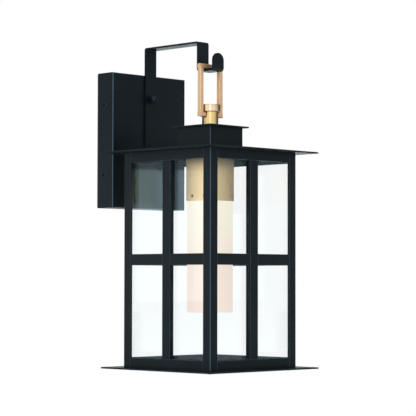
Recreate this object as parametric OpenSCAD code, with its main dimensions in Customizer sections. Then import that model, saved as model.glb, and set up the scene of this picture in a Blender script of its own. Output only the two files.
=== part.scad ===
// Outdoor wall lantern: a glazed square cage that hangs from a strap hook by a brass link.
// Frame: X to the right along the wall, -Y out of the wall, Z up. The origin is the middle of
// the back of the backplate, on the wall. All sizes are in millimetres.

/* [Backplate] */
// Width of the backplate along the wall
bp_w = 136; // [110:1:180]
// Height of the backplate
bp_h = 183; // [160:1:240]
// Distance from the wall to the front of the backplate
bp_d = 31; // [24:1:45]
// Thickness of the folded sheet of the backplate
bp_sheet = 1.2; // [0.8:0.1:2]
// Outside radius of the folds of the backplate
bp_fold = 1.8; // [1.4:0.1:3]
// Thickness of the foam gasket against the wall
gasket_t = 2; // [1:0.5:4]
// Width of the gasket's rim
gasket_w = 6; // [4:1:12]
// Height of the side screws above and below the middle
side_screw_z = 47.5; // [30:0.5:60]
// Distance of the side screws from the wall
side_screw_out = 15; // [11:0.5:18]

/* [Mounting bracket] */
// Distance between the two slots for the wall box screws
slot_spacing = 88.9; // [83.3:0.1:96]
// Width of each slot
slot_w = 5.2; // [4.5:0.1:6]
// Length of each slot, end to end
slot_len = 12; // [8:1:20]
// Thickness of the bracket's sheet
bracket_t = 1.6; // [1.2:0.1:3]
// Width of the bracket's upright
bracket_w = 40; // [30:1:60]
// Height of the arms that carry the side tabs
tab_h = 16; // [12:1:24]

/* [Hook arm] */
// Width of the strap
strap_w = 20; // [14:1:26]
// Thickness of the strap
strap_t = 2.5; // [2:0.1:4]
// Height of the top of the arm above the middle of the backplate
arm_top = 129; // [110:1:170]
// Outside radius of the two upper bends
arm_bend = 3.5; // [3:0.5:8]
// Outside radius of the two bends under the trough
hook_bend = 5; // [3.5:0.5:8]
// Clear width of the trough between the hook's two legs
hook_gap = 25.8; // [20:0.2:34]
// Distance from the top of the arm down to the underside of the trough
hook_drop = 41.2; // [30:0.2:60]
// Height of the tip of the hook above the underside of the trough
tip_h = 23.9; // [16:0.1:30]
// Height of the cap nut above the middle of the backplate
cap_nut_z = 58.4; // [40:0.2:75]

/* [Link] */
// Outside width of the link
link_w = 42; // [36:1:60]
// Outside height of the link
link_h = 70; // [50:1:100]
// Side of the link's square bar
link_bar = 6; // [4:0.5:8]
// Rounding along the edges of the link's bars
link_round = 1; // [0.5:0.1:1.5]
// Clearance between the turning bar and what it hangs on
bar_clear = 1; // [0.8:0.1:2]

/* [Hub] */
// Diameter of the stem
stem_d = 21.5; // [18:0.5:26]
// Diameter of the screwed cap
cap_d = 27; // [24:0.5:28]
// Height of the cap
cap_h = 9.4; // [8:0.2:14]
// Diameter of the threaded neck inside the cap
cap_thread_d = 17; // [14:0.5:18]
// Height of the link's lower bar above the neck plate
pivot_h = 15.6; // [13:0.2:22]
// Diameter of the tie rod
rod_d = 10; // [8:0.5:12]

/* [Lantern] */
// Distance of the lantern's axis from the wall
axis_out = 148; // [140:1:200]
// Outside width of the cage across its posts
body_w = 161; // [130:1:170]
// Height of the cage between the two plates
cage_h = 282.4; // [220:0.2:360]
// Width of the roof plate and the base plate
plate_w = 203; // [180:1:212]
// Thickness of the plates
plate_t = 2; // [1.5:0.1:4]
// Width of each leg of a corner post
post_w = 13; // [11:0.5:20]
// Thickness of a corner post
post_t = 1.5; // [1:0.1:2.5]
// Depth of the rails and stiles, front to back
bar_t = 4; // [3:0.1:6]
// Width of the upright stile in the middle of each side
stile_w = 14.5; // [8:0.5:24]
// Height of the top rails
top_rail_h = 13; // [12.5:0.5:20]
// Height of the bottom rails
bottom_rail_h = 12.8; // [10:0.2:20]
// Height of the middle rails
mid_rail_h = 14.5; // [8:0.5:24]
// Distance from the roof down to the middle of the middle rails
mid_rail_drop = 141; // [90:1:200]

/* [Neck] */
// Width of the neck box on the roof
neck_w = 61.5; // [50:0.5:70]
// Height of the neck box
neck_h = 31.6; // [20:0.2:45]
// Thickness of the neck box's sheet
neck_sheet = 1.5; // [1:0.1:2.5]
// Width of the plate on top of the neck box
neck_plate_w = 73; // [64:0.5:90]

/* [Glass] */
// Thickness of the clear panes
glass_t = 3; // [2:0.5:4]
// Gap between a pane and what holds it
glass_gap = 0.2; // [0.1:0.1:0.5]
// How far the panes reach up behind the top rails
glass_bite = 2.6; // [1.5:0.1:2.8]
// Height of the blocks that the panes stand on
block_h = 9.4; // [6:0.2:9.6]
// Width of a pane clip
clip_w = 12; // [8:1:20]

/* [Lamp] */
// Outside width of the brass sleeve
sleeve_w = 45; // [42:0.2:56]
// Height of the brass sleeve under the roof
sleeve_h = 63.3; // [58:0.1:80]
// Thickness of the sleeve's sheet
sleeve_sheet = 1.2; // [0.8:0.1:1.5]
// Outside width of the opal tube
tube_w = 44.2; // [41:0.2:55]
// Height of the opal tube below the sleeve
tube_h = 146.8; // [130:0.2:200]
// Wall of the opal tube
tube_wall = 3; // [2:0.1:4]
// Length of the tube's neck inside the sleeve
tube_neck_h = 12.6; // [10:0.2:14]
// Distance between the two tube screws on one face
tube_screw_gap = 21.7; // [16:0.1:26]
// Diameter of the tubular bulb
bulb_d = 30; // [20:1:32]
// Length of the bulb below the lampholder
bulb_len = 125; // [90:1:140]

/* [Fastenings and cord bushings] */
// Bore of the two rubber bushings for the supply cord
bushing_bore = 6; // [4:0.5:6.5]
// Distance of the bushings to the right of the middle
bushing_x = 24; // [18:1:28]

/* [Hidden] */
SIDES = ["front", "right", "back", "left"];
CORNERS = ["front_left", "front_right", "back_right", "back_left"];
CAGE_BARS = ["top_rail", "mid_rail", "bottom_rail", "stile", "glass"];

$fn = 64;
cut = 1;                                     // how far a cutter runs past a face
merge = 0.01;                                // how far two joined pieces reach into each other
black = [0.13, 0.14, 0.15];
brass = [0.86, 0.70, 0.44];
steel = [0.62, 0.64, 0.66];
rubber = [0.08, 0.08, 0.08];
clear = [0.85, 0.92, 0.94, 0.35];
opal = [0.99, 0.95, 0.86];
ceramic = [0.93, 0.92, 0.88];

// Heights, worked down from the arm: hook, link, hub, neck, roof, cage, base
hook_under = arm_top - hook_drop;
hook_floor = hook_under + strap_t;
upper_pivot = hook_floor + bar_clear + link_bar / 2;
lower_pivot = upper_pivot - link_h + link_bar;
neck_top = lower_pivot - pivot_h;
neck_under = neck_top - plate_t;
roof_top = neck_under - neck_h;
roof_under = roof_top - plate_t;
base_top = roof_under - cage_h;
base_under = base_top - plate_t;
sleeve_under = roof_under - sleeve_h;

// Hook and backplate
hook_back = axis_out - hook_gap / 2 - strap_t;
hook_front = axis_out + hook_gap / 2 + strap_t;
strap_past = 1.5;                            // how far the strap reaches below the roof plate's top
strap_end = roof_top - strap_past;
arm_screw_z = strap_end + 7;
cap_nut_d = 11;
cap_nut_collar_h = 5;
cap_nut_ball_z = 6.2;
bolt_d = 6;
bolt_head_d = 11.5;
bolt_head_h = 4;
bolt_past = cap_nut_collar_h;                // how far the bolt stands out of the strap
arm_screw_d = 5;
arm_head = [9, 3];
arm_screw_past = 1.5;
backing_w = strap_w + 10;
backing_t = 2.5;
backing_round = 3;
backing_above = 14;                          // from the bolt to the upper end of the backing plate
backing_below = 9;                           // from the screw to its lower end
pan_front = bp_d - bp_sheet;                 // inside face of the backplate's front
side_screw_d = 4;
side_head = [9, 2.6];                        // width and height of a screw's head
side_screw_past = 2;                         // how far a side screw passes its tab
side_hole_d = side_screw_d + 0.5;
tab_t = 2;
tab_clear = 0.3;
bracket_spare = 10;
bracket_round = 4;
foot_x = bp_w / 2 - gasket_w - 1;            // where the bracket's arms turn up beside the gasket
gasket_clear = 0.4;
tab_out = bp_w / 2 - bp_sheet - tab_clear;
tab_reach = side_screw_out + 7;
wire_hole_d = 20;
wire_hole_z = 22;
ground_x = 13;
ground_head = [8, 2.6];

// Hub
bar_corners = sqrt(2) * link_bar - 2 * (sqrt(2) - 1) * link_round;   // the square bar across its round corners
slot_clear = 0.15;                           // least gap between those corners and the slot they turn in
slot_d = ceil(10 * (bar_corners + 2 * slot_clear)) / 10;   // up to the next tenth of a millimetre
cap_under = lower_pivot + slot_d / 2;
cap_top_t = 2;
cap_round = 0.6;
rod_grip = 8;                                // length of the rod inside the hub

// Neck
neck_inner_round = 0.3;

// Glass and what holds it
half = body_w / 2;
pane_out = half - bar_t - glass_gap;         // outer face of a pane
pane_in = pane_out - glass_t;                // inner face of a pane
pane_top = roof_under - top_rail_h + glass_bite;
pane_bottom = base_top + block_h;
stile_h = cage_h - top_rail_h - bottom_rail_h;
mid_z = roof_under - mid_rail_drop;
rail_len = body_w - 2 * post_w;
half_rail_len = (rail_len - stile_w) / 2;
seal_short = 3;
seal_leg = post_w - seal_short;
block_w = post_w - post_t;
block_mid = half - post_t - block_w / 2;
clip_t = 1;
clip_foot = 9;
clip_edge_gap = 0.4;
clip_x = body_w / 4;
clip_screw_d = 3;
clip_head = [5.5, 1.8];
clip_screw_in = 1.4;                         // how far a clip screw enters its plate
clip_screw_y = pane_in - glass_gap - clip_t - clip_foot / 2;
base_screw_d = 4;
base_head = [8, 2.4];

// Lamp
tube_gap = 0.2;
tube_neck_w = sleeve_w - 2 * sleeve_sheet - 1.8;
tube_top = sleeve_under - tube_gap;
tube_round = 2;
tube_screw_d = 2.5;
tube_head = [4.4, 1];
tube_screw_z = sleeve_under + 6.5;
rod_nut_h = 5;
rod_nut_af = 16;
holder_top = roof_under - sleeve_sheet - rod_nut_h - 1;
holder_cap_h = 9;
holder_bottom = tube_top + tube_neck_h + 0.6;
holder_d = 34;
holder_cap_d = 28;
rod_end = holder_top - 5;
socket_d = 27;
socket_h = 25;
bulb_cap_d = 26;
bulb_cap_h = 23;
bulb_contact_d = 10;
bulb_shoulder = 6;                           // from the glass to the foot of the bulb's cap
cord_hole_z = roof_under - 12;

// Cord bushings
bushing_d = bushing_bore + 1.8;
bushing_flange_d = bushing_bore + 3.6;
bushing_flange_t = 1;
backplate_bushing_z = strap_end;
bushing_below = 0.3;                         // gap under the roof plate
lantern_bushing_z = roof_under - bushing_flange_d / 2 - bushing_below;

// ---------- shared shapes ----------

// A rectangle with round corners, centred
module round_rect(w, h, r) {
    square([w - 2 * r, h], center = true);
    square([w, h - 2 * r], center = true);
    for (sx = [-1, 1], sy = [-1, 1])
        translate([sx * (w / 2 - r), sy * (h / 2 - r)])
            circle(r);
}

// The section of a folded pan: flat back on the axis, the two front corners round
module pan_section(w, d, r) {
    translate([-w / 2, 0])
        square([w, d - r]);
    translate([-w / 2 + r, 0])
        square([w - 2 * r, d]);
    for (s = [-1, 1])
        translate([s * (w / 2 - r), d - r])
            circle(r);
}

// A pan that opens to the wall, from the given distance off the wall outwards
module pan(w, h, from, d, r) {
    translate([0, -from, 0])
        intersection() {
            rotate([180, 0, 0])
                linear_extrude(h, center = true)
                    pan_section(w, d, r);
            rotate([90, 0, -90])
                linear_extrude(w, center = true)
                    rotate(-90)
                        pan_section(h, d, r);
        }
}

// A quarter of a bent strap: centre of the bend, outside radius, and which quarter
module bend(centre, r, turn) {
    translate(centre)
        rotate(turn)
            intersection() {
                difference() {
                    circle(r);
                    circle(r - strap_t);
                }
                square(r + cut);
            }
}

// Moves what was drawn round the Z axis to the lantern's own axis
module on_axis() {
    translate([0, -axis_out, 0])
        children();
}

// Turns what was drawn for the front of the cage to side or corner k
module side(k) {
    on_axis()
        rotate([0, 0, 90 * k])
            children();
}

// A cylinder that starts at y = from and runs out of the wall
module out_cylinder(d, from, length) {
    translate([0, -from, 0])
        rotate([90, 0, 0])
            cylinder(h = length, d = d);
}

// A domed screw head of [width, height], its flat face at z = 0
module dome(head) {
    d = head[0];
    h = head[1];
    r = (d * d / 4 + h * h) / (2 * h);
    intersection() {
        translate([0, 0, h - r])
            sphere(r);
        cylinder(h = h, d = d);
    }
}

// A rubber bushing along Z for a sheet of thickness t that starts at z = 0
module bushing(t) {
    difference() {
        union() {
            translate([0, 0, -bushing_flange_t])
                cylinder(h = bushing_flange_t, d = bushing_flange_d);
            cylinder(h = t, d = bushing_d);
            translate([0, 0, t])
                cylinder(h = bushing_flange_t, d = bushing_flange_d);
        }
        translate([0, 0, -bushing_flange_t - cut])
            cylinder(h = t + 2 * bushing_flange_t + 2 * cut, d = bushing_bore);
    }
}

// ---------- on the wall ----------

module wall_gasket() {
    color(rubber)
        rotate([90, 0, 0])
            linear_extrude(gasket_t)
                difference() {
                    round_rect(bp_w, bp_h, bp_fold);
                    round_rect(bp_w - 2 * gasket_w, bp_h - 2 * gasket_w, bp_fold);
                }
}

module mounting_bracket() {
    color(steel)
        difference() {
            union() {
                rotate([90, 0, 0])
                    linear_extrude(bracket_t)
                        difference() {
                            union() {
                                round_rect(bracket_w, 2 * side_screw_z + tab_h + bracket_spare, bracket_round);
                                for (s = [-1, 1])
                                    translate([0, s * side_screw_z])
                                        square([2 * foot_x, tab_h], center = true);
                            }
                            for (s = [-1, 1]) {
                                translate([0, s * wire_hole_z])
                                    circle(d = wire_hole_d);
                                translate([0, s * slot_spacing / 2])
                                    round_rect(slot_w, slot_len, slot_w / 2 - 0.001);
                            }
                            translate([ground_x, 0])
                                circle(d = side_screw_d);
                        }
                // Step over the gasket, then the tab along the side of the backplate
                for (sx = [-1, 1], sz = [-1, 1])
                    translate([0, 0, sz * side_screw_z - tab_h / 2])
                        side_tab(sx);
            }
            for (sx = [-1, 1], sz = [-1, 1])
                translate([sx * (tab_out - tab_t - cut), -side_screw_out, sz * side_screw_z])
                    rotate([0, sx * 90, 0])
                        cylinder(h = tab_t + 2 * cut, d = side_screw_d);
        }
}

// One bent tab of the bracket: up off the wall, out over the gasket and forward
module side_tab(sx) {
    step = gasket_t + gasket_clear;
    linear_extrude(tab_h)
        mirror([sx < 0 ? 1 : 0, 0])
            union() {
                translate([foot_x - bracket_t, -step - bracket_t])
                    square([bracket_t, step + bracket_t]);
                translate([foot_x - bracket_t, -step - bracket_t])
                    square([tab_out - foot_x + bracket_t, bracket_t]);
                translate([tab_out - tab_t, -tab_reach])
                    square([tab_t, tab_reach - step]);
            }
}

module ground_screw() {
    color([0.2, 0.55, 0.25])
        translate([ground_x, 0, 0]) {
            out_cylinder(side_screw_d, 0, bracket_t);
            translate([0, -bracket_t, 0])
                rotate([90, 0, 0])
                    dome(ground_head);
        }
}

module backplate() {
    color(black)
        difference() {
            pan(bp_w, bp_h, gasket_t, bp_d - gasket_t, bp_fold);
            translate([0, cut, 0])
                pan(bp_w - 2 * bp_sheet, bp_h - 2 * bp_sheet, gasket_t,
                    bp_d - gasket_t - bp_sheet + cut, bp_fold - bp_sheet);
            for (sx = [-1, 1], sz = [-1, 1])
                translate([sx * (bp_w / 2 - 2 * bp_sheet), -side_screw_out, sz * side_screw_z])
                    rotate([0, sx * 90, 0])
                        cylinder(h = 4 * bp_sheet, d = side_hole_d);
            translate([0, 0, cap_nut_z])
                out_cylinder(bolt_d, pan_front - cut, bp_sheet + 2 * cut);
            translate([0, 0, arm_screw_z])
                out_cylinder(arm_screw_d, pan_front - cut, bp_sheet + 2 * cut);
            translate([bushing_x, 0, backplate_bushing_z])
                out_cylinder(bushing_d, pan_front - cut, bp_sheet + 2 * cut);
        }
}

module side_screws() {
    length = bp_sheet + tab_clear + tab_t + side_screw_past;
    color(black)
        for (sx = [-1, 1], sz = [-1, 1])
            translate([sx * bp_w / 2, -side_screw_out, sz * side_screw_z])
                rotate([0, sx * 90, 0]) {
                    dome(side_head);
                    translate([0, 0, -length])
                        cylinder(h = length, d = side_screw_d);
                }
}

module backing_plate() {
    top = cap_nut_z + backing_above;
    bottom = arm_screw_z - backing_below;
    color(steel)
        difference() {
            translate([0, -(pan_front - backing_t), (top + bottom) / 2])
                rotate([90, 0, 0])
                    linear_extrude(backing_t)
                        round_rect(backing_w, top - bottom, backing_round);
            translate([0, 0, cap_nut_z])
                out_cylinder(bolt_d, pan_front - backing_t - cut, backing_t + 2 * cut);
            translate([0, 0, arm_screw_z])
                out_cylinder(arm_screw_d, pan_front - backing_t - cut, backing_t + 2 * cut);
        }
}

// Side view of the strap, distance from the wall across and height up
module strap_outline() {
    translate([bp_d, strap_end])
        square([strap_t, arm_top - arm_bend - strap_end]);
    bend([bp_d + arm_bend, arm_top - arm_bend], arm_bend, 90);
    translate([bp_d + arm_bend, arm_top - strap_t])
        square([hook_back + strap_t - bp_d - 2 * arm_bend, strap_t]);
    bend([hook_back + strap_t - arm_bend, arm_top - arm_bend], arm_bend, 0);
    translate([hook_back, hook_under + hook_bend])
        square([strap_t, hook_drop - arm_bend - hook_bend]);
    bend([hook_back + hook_bend, hook_under + hook_bend], hook_bend, 180);
    translate([hook_back + hook_bend, hook_under])
        square([hook_front - hook_back - 2 * hook_bend, strap_t]);
    bend([hook_front - hook_bend, hook_under + hook_bend], hook_bend, 270);
}

module hook_arm() {
    tip_straight = tip_h - hook_bend - strap_w / 2;
    color(black)
        difference() {
            union() {
                rotate([90, 0, -90])
                    linear_extrude(strap_w, center = true)
                        strap_outline();
                translate([0, -hook_front + strap_t, hook_under + hook_bend])
                    rotate([90, 0, 0])
                        linear_extrude(strap_t)
                            union() {
                                translate([-strap_w / 2, 0])
                                    square([strap_w, tip_straight]);
                                translate([0, tip_straight])
                                    circle(d = strap_w);
                            }
            }
            translate([0, 0, cap_nut_z])
                out_cylinder(bolt_d, bp_d - cut, strap_t + 2 * cut);
            translate([0, 0, arm_screw_z])
                out_cylinder(arm_screw_d, bp_d - cut, strap_t + 2 * cut);
        }
}

module arm_bolt() {
    color(steel)
        translate([0, 0, cap_nut_z]) {
            out_cylinder(bolt_d, pan_front - backing_t, backing_t + bp_sheet + strap_t + bolt_past);
            translate([0, -(pan_front - backing_t - bolt_head_h), 0])
                rotate([90, 0, 0])
                    cylinder(h = bolt_head_h, d = bolt_head_d, $fn = 6);
        }
}

module arm_cap_nut() {
    color(black)
        difference() {
            translate([0, -(bp_d + strap_t), cap_nut_z])
                rotate([90, 0, 0]) {
                    cylinder(h = cap_nut_collar_h, d = cap_nut_d - 2);
                    translate([0, 0, cap_nut_ball_z])
                        sphere(d = cap_nut_d);
                }
            translate([0, 0, cap_nut_z])
                out_cylinder(bolt_d, bp_d + strap_t - cut, cap_nut_collar_h + cut);
            translate([0, -(bp_d + strap_t - cut), cap_nut_z])
                cube([2 * cap_nut_d, 2 * cut, 2 * cap_nut_d], center = true);
        }
}

module arm_screw() {
    color(black)
        translate([0, 0, arm_screw_z]) {
            out_cylinder(arm_screw_d, pan_front - backing_t - arm_screw_past,
                         backing_t + bp_sheet + strap_t + arm_screw_past);
            translate([0, -(bp_d + strap_t), 0])
                rotate([90, 0, 0])
                    dome(arm_head);
        }
}

module backplate_bushing() {
    color(rubber)
        translate([bushing_x, -pan_front, backplate_bushing_z])
            rotate([90, 0, 0])
                bushing(bp_sheet);
}

// ---------- the link ----------

module link() {
    color(brass)
        on_axis() {
            for (z = [lower_pivot, upper_pivot])
                translate([0, 0, z])
                    rotate([0, 90, 0])
                        linear_extrude(link_w, center = true)
                            round_rect(link_bar, link_bar, link_round);
            for (s = [-1, 1])
                translate([s * (link_w - link_bar) / 2, 0, lower_pivot])
                    linear_extrude(upper_pivot - lower_pivot)
                        round_rect(link_bar, link_bar, link_round);
        }
}

// ---------- hub and neck ----------

module hub_cap() {
    color(brass)
        on_axis()
            translate([0, 0, cap_under])
                rotate_extrude()
                    difference() {
                        intersection() {
                            translate([0, cap_h / 2])
                                round_rect(cap_d, cap_h, cap_round);
                            square([cap_d, cap_h]);
                        }
                        translate([-cut, -cut])
                            square([cap_thread_d / 2 + cut, cap_h - cap_top_t + cut]);
                    }
}

module hub_stem() {
    color(brass)
        on_axis()
            difference() {
                union() {
                    translate([0, 0, neck_top])
                        cylinder(h = cap_under - neck_top, d = stem_d);
                    translate([0, 0, cap_under - cut])
                        cylinder(h = cap_h - cap_top_t + cut, d = cap_thread_d);
                }
                // Slot for the link's lower bar, open at the top until the cap is screwed on
                translate([0, 0, lower_pivot])
                    rotate([0, 90, 0])
                        cylinder(h = stem_d + 2 * cut, d = slot_d, center = true);
                translate([-stem_d, -slot_d / 2, lower_pivot])
                    cube([2 * stem_d, slot_d, cap_h + slot_d]);
                translate([0, 0, neck_top - cut])
                    cylinder(h = rod_grip + cut, d = rod_d);
            }
}

module tie_rod() {
    color(steel)
        on_axis()
            translate([0, 0, rod_end])
                cylinder(h = neck_top + rod_grip - rod_end, d = rod_d);
}

module neck_plate() {
    color(black)
        on_axis()
            translate([0, 0, neck_under])
                linear_extrude(plate_t)
                    difference() {
                        square(neck_plate_w, center = true);
                        circle(d = rod_d);
                    }
}

module neck_box() {
    color(black)
        on_axis()
            translate([0, 0, roof_top])
                linear_extrude(neck_h)
                    difference() {
                        round_rect(neck_w, neck_w, neck_sheet);
                        round_rect(neck_w - 2 * neck_sheet, neck_w - 2 * neck_sheet, neck_inner_round);
                    }
}

// Screw positions of the pane clips, seen from above the lantern's axis
module at_clips() {
    for (k = [0:3], s = [-1, 1])
        rotate([0, 0, 90 * k])
            translate([s * clip_x, -clip_screw_y, 0])
                children();
}

module roof_plate() {
    color(black)
        on_axis()
            difference() {
                translate([0, 0, roof_under])
                    linear_extrude(plate_t)
                        difference() {
                            square(plate_w, center = true);
                            circle(d = rod_d);
                        }
                translate([0, 0, roof_under - cut])
                    at_clips()
                        cylinder(h = clip_screw_in + cut, d = clip_screw_d);
            }
}

// ---------- cage ----------

module post(k) {
    fold = post_t;
    color(black)
        side(k)
            translate([-half, -half, base_top])
                linear_extrude(cage_h)
                    difference() {
                        union() {
                            translate([fold, 0])
                                square([post_w - fold, post_w]);
                            translate([0, fold])
                                square([post_w, post_w - fold]);
                            translate([fold, fold])
                                circle(fold);
                        }
                        translate([post_t, post_t])
                            square(post_w);
                    }
}

// A bar of the cage on side k: its middle, its length along the side and its height
module cage_bar(k, x, z, length, height) {
    color(black)
        side(k)
            translate([x, -half + bar_t / 2, z])
                cube([length, bar_t, height], center = true);
}

module top_rail(k) {
    bored = SIDES[k] == "back";
    color(black)
        difference() {
            cage_bar(k, 0, roof_under - top_rail_h / 2, rail_len, top_rail_h);
            if (bored)
                side(k)
                    translate([-bushing_x, -half + bar_t + cut, lantern_bushing_z])
                        rotate([90, 0, 0])
                            cylinder(h = bar_t + 2 * cut, d = bushing_d);
        }
}

module mid_rail(k) {
    for (s = [-1, 1])
        cage_bar(k, s * (stile_w + half_rail_len) / 2, mid_z, half_rail_len, mid_rail_h);
}

module bottom_rail(k) {
    cage_bar(k, 0, base_top + bottom_rail_h / 2, rail_len, bottom_rail_h);
}

module stile(k) {
    cage_bar(k, 0, base_top + bottom_rail_h + stile_h / 2, stile_w, stile_h);
}

// The panes at the left and right run into the corners, the other two fit between them
module glass(k) {
    pane_w = k % 2 == 1 ? 2 * (pane_out - glass_gap) : 2 * (pane_in - glass_gap);
    color(clear)
        side(k)
            translate([-pane_w / 2, -pane_out, pane_bottom])
                cube([pane_w, glass_t, pane_top - pane_bottom]);
}

module glazing_seals() {
    seal_t = half - post_t - pane_out;
    edge = half - post_t;
    color(rubber)
        for (k = [0:3])
            side(k)
                translate([-edge, -edge, pane_bottom])
                    linear_extrude(pane_top - pane_bottom)
                        difference() {
                            square(seal_leg);
                            translate([seal_t, seal_t])
                                square(seal_leg);
                        }
}

module corner_blocks() {
    color(black)
        for (k = [0:3])
            side(k)
                translate([-block_mid, -block_mid, base_top])
                    difference() {
                        translate([-block_w / 2, -block_w / 2, 0])
                            cube([block_w, block_w, block_h]);
                        translate([0, 0, -cut])
                            cylinder(h = block_h + 2 * cut, d = base_screw_d);
                    }
}

// One clip at the origin: the foot lies on z = 0 inwards of the pane, the leg stands up beside it
module clip(leg_h) {
    difference() {
        translate([-clip_w / 2, -clip_foot / 2, 0])
            cube([clip_w, clip_foot, clip_t]);
        translate([0, 0, -cut])
            cylinder(h = clip_t + 2 * cut, d = clip_screw_d + 0.4);
    }
    translate([-clip_w / 2, -clip_foot / 2 - clip_t, 0])
        cube([clip_w, clip_t, leg_h]);
}

module glass_clips() {
    color(black)
        on_axis() {
            translate([0, 0, base_top])
                at_clips()
                    clip(bottom_rail_h - clip_edge_gap);
            translate([0, 0, roof_under])
                at_clips()
                    mirror([0, 0, 1])
                        clip(top_rail_h - clip_edge_gap);
        }
}

// One clip screw with its head on z = 0, pointing down
module clip_screw() {
    translate([0, 0, -clip_t - clip_screw_in])
        cylinder(h = clip_t + clip_screw_in, d = clip_screw_d);
    dome(clip_head);
}

module clip_screws() {
    color(steel)
        on_axis() {
            translate([0, 0, base_top + clip_t])
                at_clips()
                    clip_screw();
            translate([0, 0, roof_under - clip_t])
                at_clips()
                    mirror([0, 0, 1])
                        clip_screw();
        }
}

module base_plate() {
    color(black)
        on_axis()
            difference() {
                translate([0, 0, base_under])
                    linear_extrude(plate_t)
                        difference() {
                            square(plate_w, center = true);
                            for (sx = [-1, 1], sy = [-1, 1])
                                translate([sx * block_mid, sy * block_mid])
                                    circle(d = base_screw_d + 0.5);
                        }
                translate([0, 0, base_top - clip_screw_in])
                    at_clips()
                        cylinder(h = clip_screw_in + cut, d = clip_screw_d);
            }
}

module base_screws() {
    color(black)
        for (k = [0:3])
            side(k)
                translate([-block_mid, -block_mid, base_under]) {
                    cylinder(h = plate_t + block_h - 1, d = base_screw_d);
                    mirror([0, 0, 1])
                        dome(base_head);
                }
}

module lantern_bushing() {
    color(rubber)
        translate([bushing_x, -axis_out + half - bar_t, lantern_bushing_z])
            rotate([-90, 0, 0])
                bushing(bar_t);
}

// ---------- lamp ----------

module sleeve() {
    inner = sleeve_w - 2 * sleeve_sheet;
    color(brass)
        on_axis()
            difference() {
                translate([0, 0, sleeve_under])
                    linear_extrude(sleeve_h)
                        round_rect(sleeve_w, sleeve_w, 0.6);
                translate([0, 0, sleeve_under - cut])
                    linear_extrude(sleeve_h - sleeve_sheet + cut)
                        square(inner, center = true);
                translate([0, 0, roof_under - 2 * sleeve_sheet])
                    cylinder(h = 3 * sleeve_sheet, d = rod_d);
                for (s = [-1, 1])
                    translate([0, s * tube_screw_gap / 2, tube_screw_z])
                        rotate([0, 90, 0])
                            cylinder(h = sleeve_w + 2 * cut, d = tube_screw_d, center = true);
                // Way in for the cord, on the side towards the wall
                translate([0, inner / 2 - cut, cord_hole_z])
                    rotate([-90, 0, 0])
                        cylinder(h = sleeve_sheet + 2 * cut, d = bushing_bore + 1);
            }
}

module sleeve_nut() {
    color(steel)
        on_axis()
            translate([0, 0, roof_under - sleeve_sheet - rod_nut_h])
                difference() {
                    cylinder(h = rod_nut_h, d = rod_nut_af / cos(30), $fn = 6);
                    translate([0, 0, -cut])
                        cylinder(h = rod_nut_h + 2 * cut, d = rod_d);
                }
}

module tube_screws() {
    reach = (sleeve_w - tube_neck_w) / 2;
    color(brass)
        on_axis()
            for (sx = [-1, 1], sy = [-1, 1])
                translate([sx * sleeve_w / 2, sy * tube_screw_gap / 2, tube_screw_z])
                    rotate([0, sx * 90, 0]) {
                        dome(tube_head);
                        translate([0, 0, -reach])
                            cylinder(h = reach, d = tube_screw_d);
                    }
}

module opal_tube() {
    inner = tube_w - 2 * tube_wall;
    neck_inner = tube_neck_w - 2 * tube_wall;
    color(opal)
        on_axis()
            difference() {
                union() {
                    translate([0, 0, tube_top - tube_h])
                        linear_extrude(tube_h)
                            round_rect(tube_w, tube_w, tube_round);
                    translate([0, 0, tube_top - cut])
                        linear_extrude(tube_neck_h + cut)
                            round_rect(tube_neck_w, tube_neck_w, tube_round);
                }
                translate([0, 0, tube_top - tube_h + tube_wall])
                    linear_extrude(tube_h - 2 * tube_wall)
                        round_rect(inner, inner, 1);
                translate([0, 0, tube_top - tube_wall - cut])
                    linear_extrude(tube_wall + tube_neck_h + 2 * cut)
                        round_rect(neck_inner, neck_inner, 1);
            }
}

module lampholder() {
    color(ceramic)
        on_axis()
            difference() {
                union() {
                    translate([0, 0, holder_top - holder_cap_h])
                        cylinder(h = holder_cap_h, d = holder_cap_d);
                    translate([0, 0, holder_bottom])
                        cylinder(h = holder_top - holder_cap_h - holder_bottom + merge, d = holder_d);
                }
                translate([0, 0, rod_end])
                    cylinder(h = holder_top - rod_end + cut, d = rod_d);
                translate([0, 0, holder_bottom - cut])
                    cylinder(h = socket_h + cut, d = socket_d);
            }
}

module bulb_cap() {
    color(steel)
        on_axis()
            translate([0, 0, holder_bottom]) {
                cylinder(h = bulb_cap_h, d = bulb_cap_d);
                translate([0, 0, bulb_cap_h - merge])
                    cylinder(h = socket_h - bulb_cap_h + merge, d = bulb_contact_d);
            }
}

module bulb() {
    r = bulb_d / 2;
    color(opal)
        on_axis()
            translate([0, 0, holder_bottom - bulb_len])
                rotate_extrude()
                    union() {
                        intersection() {
                            translate([0, r])
                                circle(r);
                            square([r, r]);
                        }
                        translate([0, r])
                            square([r, bulb_len - r - bulb_shoulder]);
                        square([bulb_cap_d / 2, bulb_len]);
                    }
}

wall_gasket();
mounting_bracket();
ground_screw();
backplate();
side_screws();
backing_plate();
hook_arm();
arm_bolt();
arm_cap_nut();
arm_screw();
backplate_bushing();
link();
hub_cap();
hub_stem();
tie_rod();
neck_plate();
neck_box();
roof_plate();
for (k = [0:3]) {
    post(k);
    top_rail(k);
    mid_rail(k);
    bottom_rail(k);
    stile(k);
    glass(k);
}
glazing_seals();
corner_blocks();
glass_clips();
clip_screws();
base_plate();
base_screws();
lantern_bushing();
sleeve();
sleeve_nut();
tube_screws();
opal_tube();
lampholder();
bulb_cap();
bulb();
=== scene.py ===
"""Outdoor wall lantern: finishes, small hardware, floor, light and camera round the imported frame."""

import logging
import math
from collections.abc import Callable, Iterable, Sequence
from dataclasses import dataclass, field
from enum import Enum
from typing import Any

import bmesh
import bpy
from mathutils import Matrix, Vector


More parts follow.
